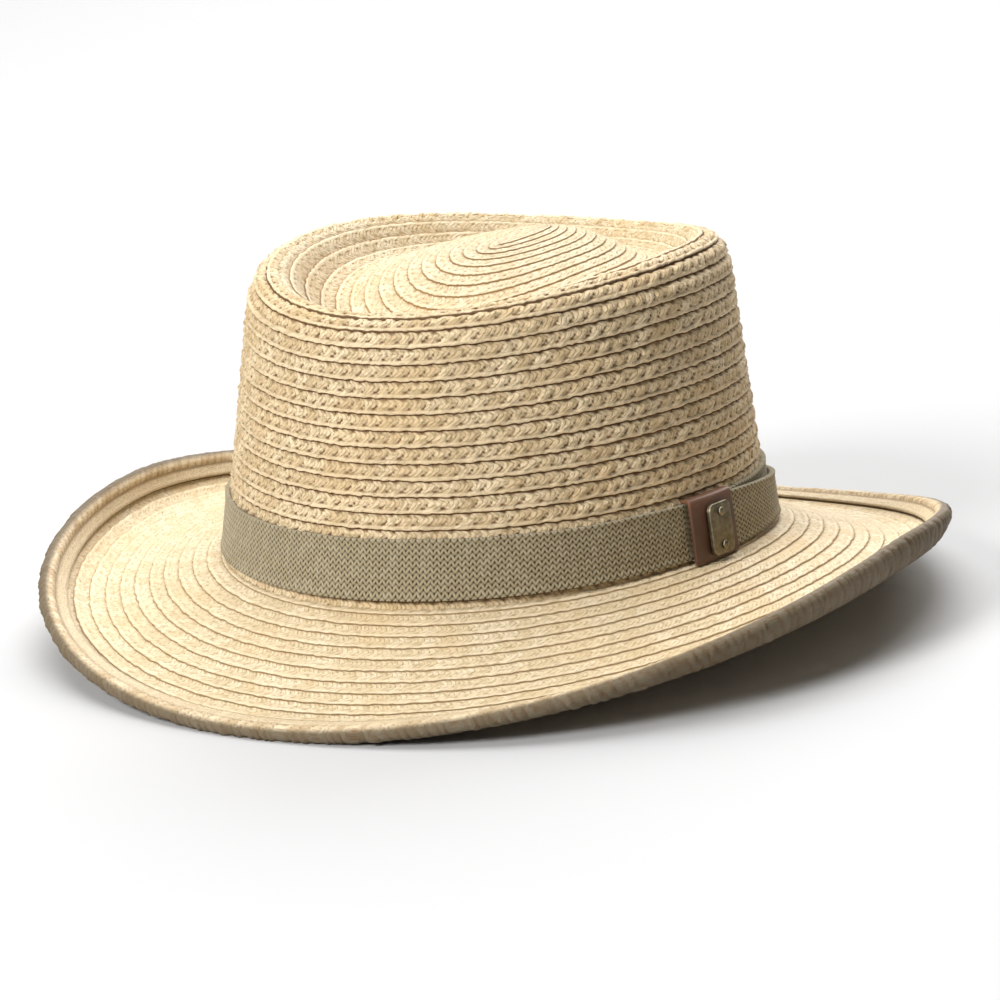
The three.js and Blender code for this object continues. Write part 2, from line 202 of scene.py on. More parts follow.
def shape():
    return bpy.context.scene.hat_shape


def braid():
    return bpy.context.scene.hat_braid


def around_hat(angle, side, front, back, power):
    across = np.sin(angle)
    end = np.where(across < 0, front, back)
    return side + (end - side) * np.abs(across) ** power


def hat_shift():
    """How far the solids stand back from the head oval's own middle."""
    return CAD_CROWN[1][1] - shape().head_back


def oval(angle, side, front, back, height):
    across = np.sin(angle)
    along = np.where(across < 0, front, back) * across + hat_shift()
    return np.stack([side * np.cos(angle), along, height + 0 * angle], axis=-1)


def brim_slope(angle, distance):
    s = shape()
    root = around_hat(angle, s.root_slope_side, s.root_slope_front, s.root_slope_back, s.slope_spread)
    edge = around_hat(angle, s.edge_slope_side, s.edge_slope_front, s.edge_slope_back, s.slope_spread)
    curl = np.clip((distance / s.brim_width - s.curl_start) / (1 - s.curl_start), 0, None) ** s.curl_power
    return root + (edge - root) * curl


# Number of straight steps that the brim's curve is added up from.
CURVE_STEPS = 24


def brim_offset(angle, distance, lift):
    """How far out from the crown and how high a place on the brim is, by its distance along the curve."""
    step = distance / CURVE_STEPS
    reach = 0 * angle * distance
    height = 0 * angle * distance
    for i in range(CURVE_STEPS):
        slant = brim_slope(angle, (i + 0.5) * step)
        reach = reach + np.cos(slant) * step
        height = height + np.sin(slant) * step
    slant = brim_slope(angle, distance)
    return reach - lift * np.sin(slant), height + lift * np.cos(slant)


def edge_underside():
    s = shape()
    return -(s.straw + s.gap + s.edge_leaf)


def head_line_over_dip(angle):
    """Height of the crown's foot over the floor where a dip of the brim rests on it."""
    s = shape()
    samples = 37
    distance = np.linspace(s.brim_width - s.edge_width, s.brim_width, samples)
    height = brim_offset(np.full(samples, angle), distance, edge_underside())[1]
    return -min(0, height.min()) - s.rest_flattening


def head_line(angle):
    s = shape()
    front = head_line_over_dip(-math.pi / 2)
    back = head_line_over_dip(math.pi / 2)
    return around_hat(angle, s.head_line_side, front, back, s.height_spread)


def brim_point(angle, distance, lift):
    s = shape()
    reach, height = brim_offset(angle, distance, lift)
    side, front, back = (size + reach for size in (s.head_half_width, s.head_front, s.head_back))
    return oval(angle, side, front, back, head_line(angle) + height)


def crown_height(angle):
    s = shape()
    return around_hat(angle, s.crown_side, s.crown_front, s.crown_back, s.height_spread)


def wall_point(angle, height, out):
    s = shape()
    share = height / crown_height(angle)

    def reach(head, top):
        return head + (top - head) * share + out

    return oval(
        angle,
        reach(s.head_half_width, s.top_half_width),
        reach(s.head_front, s.top_front),
        reach(s.head_back, s.top_back),
        head_line(angle) + height,
    )


def rim_point(angle, out, up):
    """A point out and up from the oval of the crown's upper edge."""
    s = shape()
    side, front, back = (size + out for size in (s.top_half_width, s.top_front, s.top_back))
    return oval(angle, side, front, back, head_line(angle) + crown_height(angle) + up)


def rounding_point(angle, bend, lift):
    rounding = shape().top_rounding
    radius = rounding + lift
    return rim_point(angle, radius * np.cos(bend) - rounding, radius * np.sin(bend) - rounding)


# Share of the way in from the crown's edge, and there the share of the valley's depth and the share
# of the climb to the island's middle.
RECESS_PLACES = np.array((0, 0.04, 0.09, 0.15, 0.21, 0.27, 0.34, 0.44, 0.56, 0.7, 0.85, 1))
VALLEY_SHARES = np.array((0, 0.07, 0.29, 0.66, 0.92, 1.0, 1, 1, 1, 1, 1, 1))
CLIMB_SHARES = np.array((0, 0, 0, 0, 0, 0, 0.08, 0.3, 0.58, 0.82, 0.95, 1))


def smooth_table(position, places, values):
    """Reads a table with a smooth curve through its points."""
    slopes = np.gradient(values, places)
    index = np.clip(np.searchsorted(places, position, side="right") - 1, 0, len(places) - 2)
    run = places[index + 1] - places[index]
    t = (position - places[index]) / run
    rise = values[index + 1] - values[index]
    start = slopes[index] * run
    end = slopes[index + 1] * run
    cubic = start + end - 2 * rise
    return values[index] + t * start + t * t * (3 * rise - 2 * start - end) + t**3 * cubic


def recess_point(angle, inward, lift):
    s = shape()
    inward = np.clip(inward, 0, 1)
    edge = head_line(angle) + crown_height(angle)
    depth = around_hat(angle, s.valley_side, s.valley_front, s.valley_back, s.height_spread)
    valley = edge - depth * smooth_table(inward, RECESS_PLACES, VALLEY_SHARES)
    climb = smooth_table(inward, RECESS_PLACES, CLIMB_SHARES)
    height = valley + (s.island_height - valley) * climb + lift
    side, front, back = (
        (reach - s.top_rounding) * (1 - inward) for reach in (s.top_half_width, s.top_front, s.top_back)
    )
    point = oval(angle, side, front, back, height)
    point[..., 1] += (s.island_setback + s.island_half_length * np.sin(angle)) * inward
    return point


# Rows of braid. A row coordinate counts rows from where a spiral starts. Its whole part is the row,
# and the rest, from 0 to 1, goes across the row from its tucked-in edge to the cord on its free edge.


def bump(x, width):
    """A round hump, 1 in the middle and 0 at a distance of width."""
    return np.sqrt(np.clip(1 - (x / width) ** 2, 0, None))


def ease(x, start, end):
    t = np.clip((x - start) / (end - start), 0, 1)
    return t * t * (3 - 2 * t)


def scatter(index, seed):
    """A fixed random number from 0 to 1 for each whole number."""
    value = np.sin(index * 12.9898 + seed * 78.233) * 43758.5453
    return value - np.floor(value)


def drift(position, seed):
    """A smooth wander between -1 and 1 along the braid."""
    base = np.floor(position)
    t = ease(position - base, 0, 1)
    return (scatter(base, seed) * (1 - t) + scatter(base + 1, seed) * t) * 2 - 1


# How far, in leaves, the plait's leaves lean for each row's width, and the place across the row where
# the upper leaves meet the lower ones.
LEAF_SLANT = 1.25
PLAIT_MIDDLE = 0.34

# Places across the row of the lower leaves' ends and of the cord, and half the cord's width.
LEAF_END = 0.78
CORD_MIDDLE = 0.88
CORD_REACH = 0.085

# Seeds that give each random feature its own draw. A tier of leaves also uses the number after its own.
LOOSE_SEED, LOWER_SEED, CORD_SEED, ROW_SEED, TWIST_SEED = 1, 2, 4, 5, 6
STRAND_SEED, STRAND_TONE_SEED, STITCH_SEED, BAND_EDGE_SEED = 7, 8, 9, 11
GRAIN_SEED, UPPER_SEED, TEETH_SEED, WANDER_SEED = 12, 13, 21, 22

# Share of a turn at which each spiral of braid starts, out of sight behind the crown.
SPIRAL_START = 0.35


def leaf_tier(lean, across, start, end, widths, seed):
    """One tier of slanted leaves between two places across the row, each of its own size."""
    leaf = np.floor(lean)
    t = lean - leaf
    size = 0.5 + 0.7 * scatter(leaf, seed)
    width = widths[0] + (widths[1] - widths[0]) * ease(across, start, end)
    body = np.clip(1 - (np.abs(2 * t - 1) / width) ** 2.1, 0, None) ** 0.7
    end = end + 0.12 * (scatter(leaf, seed + 1) - 0.5)
    rise = ease(across, start - 0.04, start + 0.14)
    return size * body * rise * (1 - ease(across, end - 0.12, end + 0.06))


def braid_relief(along, across, flatness=0.0):
    """Height, lean and openness of the plait at a place along the braid, in leaves, and across it.

    The upper and lower leaves slant against each other, half a leaf apart, with a cord below them."""
    b = braid()
    loose = along + 0.28 * drift(along / 1.9, LOOSE_SEED)
    lean = loose + LEAF_SLANT * np.sqrt((across - PLAIT_MIDDLE) ** 2 + 0.002)
    lower = leaf_tier(lean, across, PLAIT_MIDDLE - 0.14, LEAF_END, (1.15, 0.76), LOWER_SEED)
    upper = leaf_tier(lean + 0.5, across, 0.02, PLAIT_MIDDLE + 0.05, (0.85, 1.0), UPPER_SEED)
    leaves = b.leaf_height * np.maximum(lower, 0.85 * upper)
    middle = CORD_MIDDLE + 0.03 * drift(along * 0.8, CORD_SEED)
    twist = 0.7 + 0.25 * np.sin(TAU * (1.5 * along + across)) + 0.4 * drift(along * 1.3, TWIST_SEED)
    cord = b.cord_height * twist * bump(across - middle, CORD_REACH)
    ramp = b.lap_over * (across - 0.5) * (1 - 0.7 * flatness) - 0.3 * b.leaf_height * (1 - flatness)
    grain = scatter(np.floor(along * 5 + 0.137) + 31 * np.floor(across * 7 + 0.137), GRAIN_SEED) - 0.5
    rough = 0.2 * b.leaf_height * grain * ease(across, 0, 0.1) * (1 - ease(across, 0.9, 0.98))
    relief = np.maximum(leaves, cord) + rough
    # The straw materials paint shade where a place is least open.
    open_share = np.clip(np.maximum(leaves, 1.3 * cord) / (0.6 * b.leaf_height), 0, 1)
    return ramp + relief * (1 - flatness), lean, open_share


# Teeth of a ragged seam in each turn of the hat, and how far from the seam, in rows, they still show.
SEAM_TEETH = 420
SEAM_REACH = 0.2


def ragged_seam(turn, spiral):
    """How far, in rows, the seam nearest to a row coordinate wanders from its even line."""
    seam = np.rint(spiral)
    nearness = np.clip(1 - np.abs(spiral - seam) / SEAM_REACH, 0, 1)
    place = (turn + seam) * SEAM_TEETH
    return nearness * (0.05 * drift(place, TEETH_SEED) + 0.02 * drift(place / 3, WANDER_SEED))


def lane_places(rows, steps):
    """Row coordinates of the grid's lanes: every step of every row, with a row to spare at each end."""
    first = np.arange(-1, math.ceil(rows) + 1)
    return (first[:, None] + np.array(steps)[None]).ravel()


# How flat the braid is pressed on the brim and the crown's top, and in the row at the crown's foot,
# where 1 has no relief.
PRESSED_FLATNESS = 0.75
FOOT_FLATNESS = 0.5

# Places of the grid's lanes across each row, on the crown's side and where the braid is pressed flat.
ROW_STEPS = (0.0, 0.13, 0.3, 0.48, 0.66, 0.79, 0.88, 0.985)
FLAT_ROW_STEPS = (0.0, 0.2, 0.42, 0.66, 0.84, 0.985)


def make_active(piece):
    bpy.ops.object.select_all(action="DESELECT")
    piece.select_set(True)
    bpy.context.view_layer.objects.active = piece


def grid_piece(name, columns, lanes, place):
    """A grid wrapped into a closed skin: place() takes each vertex's column share and lane."""
    bpy.ops.object.select_all(action="DESELECT")
    bpy.ops.mesh.primitive_grid_add(x_subdivisions=columns, y_subdivisions=lanes, size=2)
    piece = bpy.context.object
    piece.name = name
    mesh = piece.data
    mesh.name = name
    corners = np.empty(len(mesh.vertices) * 3)
    mesh.vertices.foreach_get("co", corners)
    corners = corners.reshape(-1, 3)
    turn = (corners[:, 0] + 1) / 2
    lane = np.rint((corners[:, 1] + 1) / 2 * lanes).astype(int)
    points, open_share, tone, flat = place(turn, lane)
    mesh.vertices.foreach_set("co", points.ravel())
    for label, values in (("open", open_share), ("tone", tone)):
        layer = mesh.attributes.new(label, "FLOAT", "POINT")
        layer.data.foreach_set("value", np.ascontiguousarray(values, dtype=np.float32))
    loops = np.empty(len(mesh.loops), dtype=np.int32)
    mesh.loops.foreach_get("vertex_index", loops)
    uv_map = mesh.uv_layers[0]
    uv_map.name = "braid"
    uv_map.data.foreach_set("uv", np.ascontiguousarray(flat[loops], dtype=np.float32).ravel())
    mesh.update()
    make_active(piece)
    bpy.ops.object.mode_set(mode="EDIT")
    bpy.ops.mesh.select_all(action="SELECT")
    bpy.ops.mesh.remove_doubles(threshold=WELD)
    bpy.ops.mesh.normals_make_consistent(inside=False)
    bpy.ops.object.mode_set(mode="OBJECT")
    bpy.ops.object.shade_smooth()
    return piece


def dress(piece, material, node):
    """Gives a finished piece its material and puts it in place of the part's solid."""
    piece.data.materials.append(material)
    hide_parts(node)
    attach(piece, "root")


def surface_normal(surface, angle, row):
    """Outward normals of a surface, from points a little to each side."""
    turn_step = 0.004
    row_step = 0.02
    around = surface(angle + turn_step, row) - surface(angle - turn_step, row)
    outward = surface(angle, row + row_step) - surface(angle, row - row_step)
    normal = np.cross(outward, around)
    size = np.linalg.norm(normal, axis=-1, keepdims=True)
    return normal / np.maximum(size, 1e-12)


# Least number of leaves in a turn of the braid, for the small turns at a spiral's start.
FEWEST_LEAVES = 8


def leaves_per_turn(surface, rows, leaf):
    """Whole number of leaves in each turn of the braid, and how many lie inside it."""
    angles = np.linspace(0, TAU, 181)
    counts = []
    for turn in range(-1, math.ceil(rows) + 2):
        row = np.full(len(angles), min(max(turn + 0.5, 0), rows))
        points = surface(angles, row)
        run = np.linalg.norm(np.diff(points, axis=0), axis=1).sum()
        counts.append(max(FEWEST_LEAVES, round(run / leaf)))
    counts = np.array(counts)
    return counts, np.concatenate([[0], np.cumsum(counts)[:-1]])


# Columns round the hat, and lanes of the plain inside, of each braided skin.
WALL_GRID = (700, 14)
FOOT_GRID = (700, 3)
TOP_GRID = (600, 16)
BRIM_GRID = (840, 22)

# How far the rim of a skin with a tip dips, so that it tucks in under the row next to it.
RIM_DIP = 1.5 * MM


def braided_skin(name, grid, rows, steps, surface, inner, flatness=0.0, tip=False):
    """A closed skin with rows of braid on its outside and a plain inside.

    surface() and inner() give points from angles and row coordinates or lanes of their own. A skin
    with a tip closes there by itself, and any other gets its last lane joined to its first."""
    columns, inner_lanes = grid
    outer_places = lane_places(rows, steps)
    outer_count = len(outer_places)
    lanes = outer_count + inner_lanes - (1 if tip else 0)
    counts, before = leaves_per_turn(surface, rows, braid().plait)

    def place(turn, lane):
        angle = turn * TAU
        lane = lane % (outer_count + inner_lanes)
        is_outer = lane < outer_count
        free = outer_places[np.minimum(lane, outer_count - 1)]
        wound = free + turn - SPIRAL_START
        row = np.clip(wound, 0, rows)
        spiral = np.where(wound == row, free, row - turn + SPIRAL_START)
        whole = np.floor(spiral + 1e-6)
        across = np.clip(spiral - whole, 0, 1)
        index = np.clip(whole.astype(int) + 1, 0, len(counts) - 1)
        along = before[index] + turn * counts[index]
        relief, lean, open_share = braid_relief(along, across, flatness)
        if tip:
            relief = relief * ease(row, 0, 0.5) - RIM_DIP * ease(row, rows - 0.3, rows)
        inland = ease(row, 0, 1) * (1 - ease(row, rows - 1, rows))
        row = row + inland * ragged_seam(turn, spiral)
        base = surface(angle, row)
        points = base + surface_normal(surface, angle, row) * relief[:, None]
        inner_share = np.clip(lane - outer_count, 0, inner_lanes - 1) / max(1, inner_lanes - 1)
        inside = inner(angle, inner_share)
        points = np.where(is_outer[:, None], points, inside)
        open_share = np.where(is_outer, open_share, 1)
        tone = np.where(is_outer, scatter(whole, ROW_SEED), 0.5)
        flat_out = np.stack([lean, whole + across], axis=-1)
        row_in = rows * (1 - inner_share) - turn + SPIRAL_START
        flat_in = np.stack([turn * counts[len(counts) // 2], row_in], axis=-1)
        flat = np.where(is_outer[:, None], flat_out, flat_in)
        return points, open_share, tone, flat

    return grid_piece(name, columns, lanes, place)


# Crown.


def band_top(angle):
    s = shape()
    return around_hat(angle, s.band_top_side, s.band_top_front, s.band_top_back, s.band_spread)


def band_foot(angle):
    return around_hat(angle, 0, shape().band_foot_front, 0, shape().band_spread)


# Radius at which the crown's side turns down inside its upper edge, under the first row of the top.
INNER_TURN = 2.5 * MM

# Share of the band's height at which the crown's rows end, out of sight behind it.
BEHIND_BAND = 0.9

# The one row that shows under the band: its top over the head line, its width and how far its lower
# edge stands out.
FOOT_ROW_TOP = 5.2 * MM
FOOT_ROW_WIDTH = 6.4 * MM
FOOT_ROW_FLARE = 0.3 * MM


def crown_rows():
    s = shape()
    arcs = (s.top_rounding + INNER_TURN) * math.pi / 2
    wall = s.crown_side - s.top_rounding - BEHIND_BAND * s.band_top_side
    return (arcs + wall) / braid().crown_pitch


def inner_turn_point(angle, bend, lift):
    radius = INNER_TURN + lift
    out = -shape().top_rounding - radius * np.sin(bend)
    return rim_point(angle, out, radius * np.cos(bend) - INNER_TURN)


def crown_wall_surface(angle, row, lift=0.0):
    """The crown's side from inside its upper edge, row 0, down to just under the band's top edge."""
    s = shape()
    turn_in = INNER_TURN * math.pi / 2
    arc = s.top_rounding * math.pi / 2
    wall_top = crown_height(angle) - s.top_rounding
    run = turn_in + arc + wall_top - BEHIND_BAND * band_top(angle)
    distance = row / crown_rows() * run - turn_in
    inward = np.clip(-distance / INNER_TURN, 0, math.pi / 2)
    bend = np.clip((arc - distance) / s.top_rounding, None, math.pi / 2)
    on_turn = (distance < 0)[..., None]
    on_rounding = (distance < arc)[..., None]
    upper = np.where(on_turn, inner_turn_point(angle, inward, lift), rounding_point(angle, bend, lift))
    return np.where(on_rounding, upper, wall_point(angle, wall_top - (distance - arc), lift))


class HAT_OT_crown_wall(bpy.types.Operator):
    """Sew the crown's side: rows of plaited straw from its upper edge down behind the band"""

    bl_idname = "hat.crown_wall"
    bl_label = "Crown side"

    def execute(self, context):
        rows = crown_rows()
        thickness = shape().straw

        def inner(angle, share):
            return crown_wall_surface(angle, rows * (1 - share), -thickness)

        wall = braided_skin("wall_rows", WALL_GRID, rows, ROW_STEPS, crown_wall_surface, inner)
        dress(wall, plaited_straw("Plaited straw"), "crown_wall")

        def foot_row(angle, row, lift=0.0):
            out = lift + FOOT_ROW_FLARE * (2 * row - 1)
            return wall_point(angle, FOOT_ROW_TOP - FOOT_ROW_WIDTH * row, out)

        def foot_inner(angle, share):
            return foot_row(angle, 1 - share, -thickness)

        foot = braided_skin("foot_row", FOOT_GRID, 1, ROW_STEPS, foot_row, foot_inner, FOOT_FLATNESS)
        dress(foot, plaited_straw("Plaited straw"), "crown_wall")
        return {"FINISHED"}


def top_rows():
    s = shape()
    return (s.top_half_width - s.top_rounding) / braid().top_pitch


def crown_top_surface(angle, row, lift=0.0):
    """The recessed top from the island's fold, row 0, out to the crown's edge."""
    return recess_point(angle, 1 - row / top_rows(), lift)


class HAT_OT_crown_top(bpy.types.Operator):
    """Sew the crown's recessed top: a spiral of braid from the island out to the edge"""

    bl_idname = "hat.crown_top"
    bl_label = "Crown top"

    def execute(self, context):
        rows = top_rows()
        thickness = shape().straw

        def inner(angle, share):
            return crown_top_surface(angle, rows * (1 - share), -thickness)

        top = braided_skin(
            "top_rows", TOP_GRID, rows, FLAT_ROW_STEPS, crown_top_surface, inner, PRESSED_FLATNESS, tip=True
        )
        dress(top, plaited_straw("Top straw"), "crown_top")
        return {"FINISHED"}


# Brim and its folded edge.


# Where the brim's rows start, out from the crown, and how far they reach in under the folded edge.
BRIM_START = 0.5 * MM
UNDER_EDGE = 2 * MM


def brim_end():
    s = shape()
    return s.brim_width - s.edge_width + UNDER_EDGE


def brim_rows():
    return (brim_end() - BRIM_START) / braid().brim_pitch


def brim_surface(angle, row):
    return brim_point(angle, BRIM_START + row * braid().brim_pitch, 0.0)


class HAT_OT_brim(bpy.types.Operator):
    """Sew the brim: flat rows of braid round the crown, with the same rows underneath"""

    bl_idname = "hat.brim"
    bl_label = "Brim"

    def execute(self, context):
        rows = brim_rows()
        s = shape()

        def inner(angle, share):
            return brim_point(angle, brim_end() + (-s.straw - brim_end()) * share, -s.straw)

        brim = braided_skin(
            "brim_braid", BRIM_GRID, rows, FLAT_ROW_STEPS, brim_surface, inner, PRESSED_FLATNESS
        )
        dress(brim, plaited_straw("Pressed straw"), "brim")
        return {"FINISHED"}


# Columns round the folded edge, and lanes across its outside.
EDGE_COLUMNS = 1500
EDGE_LANES = 17

# How fast the edge's strands lean, in strands for each whole section, and back again past its nose.
# The waves in which they wander have a reach in strands, a number in each turn and a start.
EDGE_SLANT = 4.2
EDGE_WANDER = ((0.4, 37, 1), (0.35, 83, 2), (0.2, 151, 4))

# Height of the edge's ribs, and the place across its section of the seam in its upper leaf.
EDGE_RIB = 0.7 * MM
EDGE_SEAM = 0.25

# Least height of the folded edge over the floor.
FLOOR_CLEARANCE = 0.05 * MM


def edge_section(count):
    """Distance and lift round the folded braid's section, starting inside its upper leaf."""
    s = shape()
    above = s.gap + s.edge_leaf
    below = edge_underside()
    half = (above - below) / 2
    middle = (above + below) / 2
    nose = s.brim_width - half
    start = s.brim_width - s.edge_width
    leaf_run = nose - start
    nose_run = math.pi * half
    run = 2 * leaf_run + nose_run
    places = np.linspace(0, run, count)
    bend = np.clip((places - leaf_run) / half, 0, math.pi)
    distance = np.where(places < leaf_run, start + places, nose + half * np.sin(bend))
    distance = np.where(places > leaf_run + nose_run, nose - (places - leaf_run - nose_run), distance)
    return distance, middle + half * np.cos(bend), places / run


class HAT_OT_edge_braid(bpy.types.Operator):
    """Fold the outermost braid over the brim's edge: coarse strands that slant across it"""

    bl_idname = "hat.edge_braid"
    bl_label = "Edge braid"

    def execute(self, context):
        s = shape()
        distance, lift, share = edge_section(EDGE_LANES)
        root, tip = s.brim_width - s.edge_width, s.brim_width - s.edge_leaf
        low, high = -s.straw - 0.5 * s.gap, 0.5 * s.gap
        inside = np.array([(root, low), (tip, low), (tip, high), (root, high), (distance[0], lift[0])])
        distances = np.concatenate([distance, inside[:, 0]])
        lifts = np.concatenate([lift, inside[:, 1]])
        shares = np.concatenate([share, np.ones(len(inside) - 1), [0]])
        rim_angles = np.linspace(0, TAU, 721)
        rim = brim_point(rim_angles, 0 * rim_angles + s.brim_width, 0.0)
        strands = round(np.linalg.norm(np.diff(rim, axis=0), axis=1).sum() / braid().edge_strand)

        def place(turn, lane):
            angle = turn * TAU
            outside = (lane < EDGE_LANES) | (lane == len(distances) - 1)
            across = shares[lane]
            slant = np.where(across < 0.5, across, 1 - across) * EDGE_SLANT
            wander = sum(reach * np.sin(angle * waves + start) for reach, waves, start in EDGE_WANDER)
            lean = turn * strands + slant + wander * (0.6 + 0.4 * np.sin(angle * 29 + 5 * across))
            strand = np.floor(lean)
            t = lean - strand
            size = 0.55 + 0.6 * scatter(np.mod(strand, strands), STRAND_SEED)
            body = np.clip(1 - np.abs(2 * t - 1) ** 2.2, 0, None) ** 0.8
            rib = body * size * (1 - 0.5 * bump(across - 0.5, 0.08))
            ends = ease(across, 0, 0.07) * ease(1 - across, 0, 0.07)
            pressed = 1 - ease(across, EDGE_SEAM, EDGE_SEAM + 0.05)
            groove = bump(across - EDGE_SEAM, 0.04)
            relief = EDGE_RIB * ((rib - 0.45) * (1 - 0.6 * pressed) - 0.7 * groove) * ends
            relief = np.where(outside, relief, 0)
            points = brim_point(angle, distances[lane], lifts[lane] + relief * np.sign(0.5 - across))
            nose = bump(across - 0.5, 0.2) * relief
            points[:, :2] *= (1 + nose / np.linalg.norm(points[:, :2], axis=1))[:, None]
            points[:, 2] = np.maximum(points[:, 2], FLOOR_CLEARANCE)
            tone = scatter(np.mod(strand, strands), STRAND_TONE_SEED)
            flat = np.stack([lean, across * 4], axis=-1)
            # How open each strand is: the edge's material paints shade where it is low.
            open_share = np.maximum(body, 0.85 * pressed) * (1 - 0.7 * groove)
            return points, np.where(outside, open_share, 0.3), tone, flat

        edge = grid_piece("edge_fold", EDGE_COLUMNS, len(distances) - 1, place)
        dress(edge, edge_straw_material(), "edge_braid")
        return {"FINISHED"}


# Knitted band.


# How far, in stitches, each leg of a stitch climbs across its half of the stitch, and the grid's
# columns and lanes for each stitch.
STITCH_CLIMB = 0.75
STITCH_COLUMNS = 5
STITCH_LANES = 4.5

# How far the band's two hems roll out, and how high its foot clears the brim's braid.
HEM_ROLL = 0.35 * MM
BRIM_CLEARANCE = 1.2 * MM

# Share of the lift of the band's foot at the front that the knit follows.
FOOT_LIFT = 0.75


def knit_relief(wale, course):
    """Height and openness of stocking stitch, counted in stitches across and up."""
    side = np.abs(2 * (wale - np.floor(wale)) - 1)
    climb = course - STITCH_CLIMB * side
    row = np.floor(climb)
    t = climb - row
    leg = np.clip(1 - np.abs(2 * t - 1) ** 2.2, 0, None) ** 0.7
    body = bump(side - 0.52, 0.6)
    height = braid().stitch_depth * (leg * body - 0.3)
    tone = scatter(row * 57 + np.floor(2 * wale), STITCH_SEED)
    return height, np.clip(leg * body * 1.2, 0, 1), tone


def knit_place(angle_of, out_of, foot_of, top_of, wales, closed):
    """The place() of a knitted layer, stitches outside and plain inside, and its number of lanes."""
    s = shape()
    stitches = s.band_top_side / braid().stitch_height
    outer = np.linspace(0, 1, round(stitches * STITCH_LANES) + 1)
    inner = np.linspace(1, 0, 5)
    places = np.concatenate([outer, inner, outer[:1]])
    is_inner = np.concatenate([0 * outer, 0 * inner + 1, [0]]).astype(bool)

    def place(turn, lane):
        angle = angle_of(turn)
        share = places[lane]
        inside = is_inner[lane]
        relief, open_share, tone = knit_relief(turn * wales, share * stitches)
        roll = HEM_ROLL * (bump(share - 0.97, 0.05) + bump(share - 0.03, 0.05))
        ends = 1.0 if closed else ease(turn, 0, 0.02) * ease(1 - turn, 0, 0.02)
        out = out_of(turn) + np.where(inside, 0, s.band_thickness + (relief + roll) * ends)
        foot = foot_of(turn, angle, out)
        points = wall_point(angle, foot + (top_of(turn) - foot) * share, out)
        flat = np.stack([turn * wales, share * stitches], axis=-1)
        return points, np.where(inside, 0.4, open_share), tone, flat

    return place, len(places) - 1


def clear_foot(angle, out):
    """Height over the head line that just clears the brim at a distance out from the wall."""
    return brim_point(angle, out, 0.0)[..., 2] - head_line(angle) + BRIM_CLEARANCE


def side_angle(along):
    s = shape()
    return math.asin(along / (s.head_front if along < 0 else s.head_back))


class HAT_OT_band(bpy.types.Operator):
    """Knit the band round the crown's foot and the lap that stands off it behind the keeper"""

    bl_idname = "hat.band"
    bl_label = "Knitted band"

    def execute(self, context):
        s = shape()
        wales = round(TAU * 0.5 * (s.head_half_width + s.head_front) / braid().stitch_width)
        place, lanes = knit_place(
            lambda turn: turn * TAU,
            lambda turn: s.gap + 0 * turn,
            lambda turn, angle, out: clear_foot(angle, out) + FOOT_LIFT * band_foot(angle),
            lambda turn: band_top(turn * TAU) + 0.25 * MM * drift(turn * 40, BAND_EDGE_SEED),
            wales,
            True,
        )
        band = grid_piece("knit_band", wales * STITCH_COLUMNS, lanes, place)
        dress(band, knit_material(), "band")

        start = side_angle(s.keeper_front + s.gap)
        rise = side_angle(s.keeper_back)

        def lap_angle(turn):
            return start + (s.lap_end - start) * turn

        def past_keeper(turn):
            return np.clip((lap_angle(turn) - rise) / (s.lap_end - rise), 0, 1)

        def arch(turn):
            return np.sin(math.pi * past_keeper(turn)) ** 1.5

        def lap_foot(turn, angle, out):
            return clear_foot(angle, out) + FOOT_LIFT * band_foot(angle) + s.lap_rise * arch(turn)

        base = s.gap + s.band_thickness + s.gap
        lap_wales = round((s.lap_end - start) * s.head_half_width / braid().stitch_width)
        place, lanes = knit_place(
            lap_angle,
            lambda turn: base + s.lap_stand_off * arch(turn),
            lap_foot,
            lambda turn: band_top(lap_angle(turn)) - s.lap_drop * past_keeper(turn),
            lap_wales,
            False,
        )
        lap = grid_piece("knit_lap", lap_wales * STITCH_COLUMNS, lanes, place)
        dress(lap, knit_material(), "band_lap")
        return {"FINISHED"}


# Leather keeper and metal plate.


# Columns along the keeper, the rounding of its edges, and the least angle of an edge that is rounded.
KEEPER_COLUMNS = 24
KEEPER_BEVEL = 0.35 * MM
KEEPER_SHARP = math.radians(50)


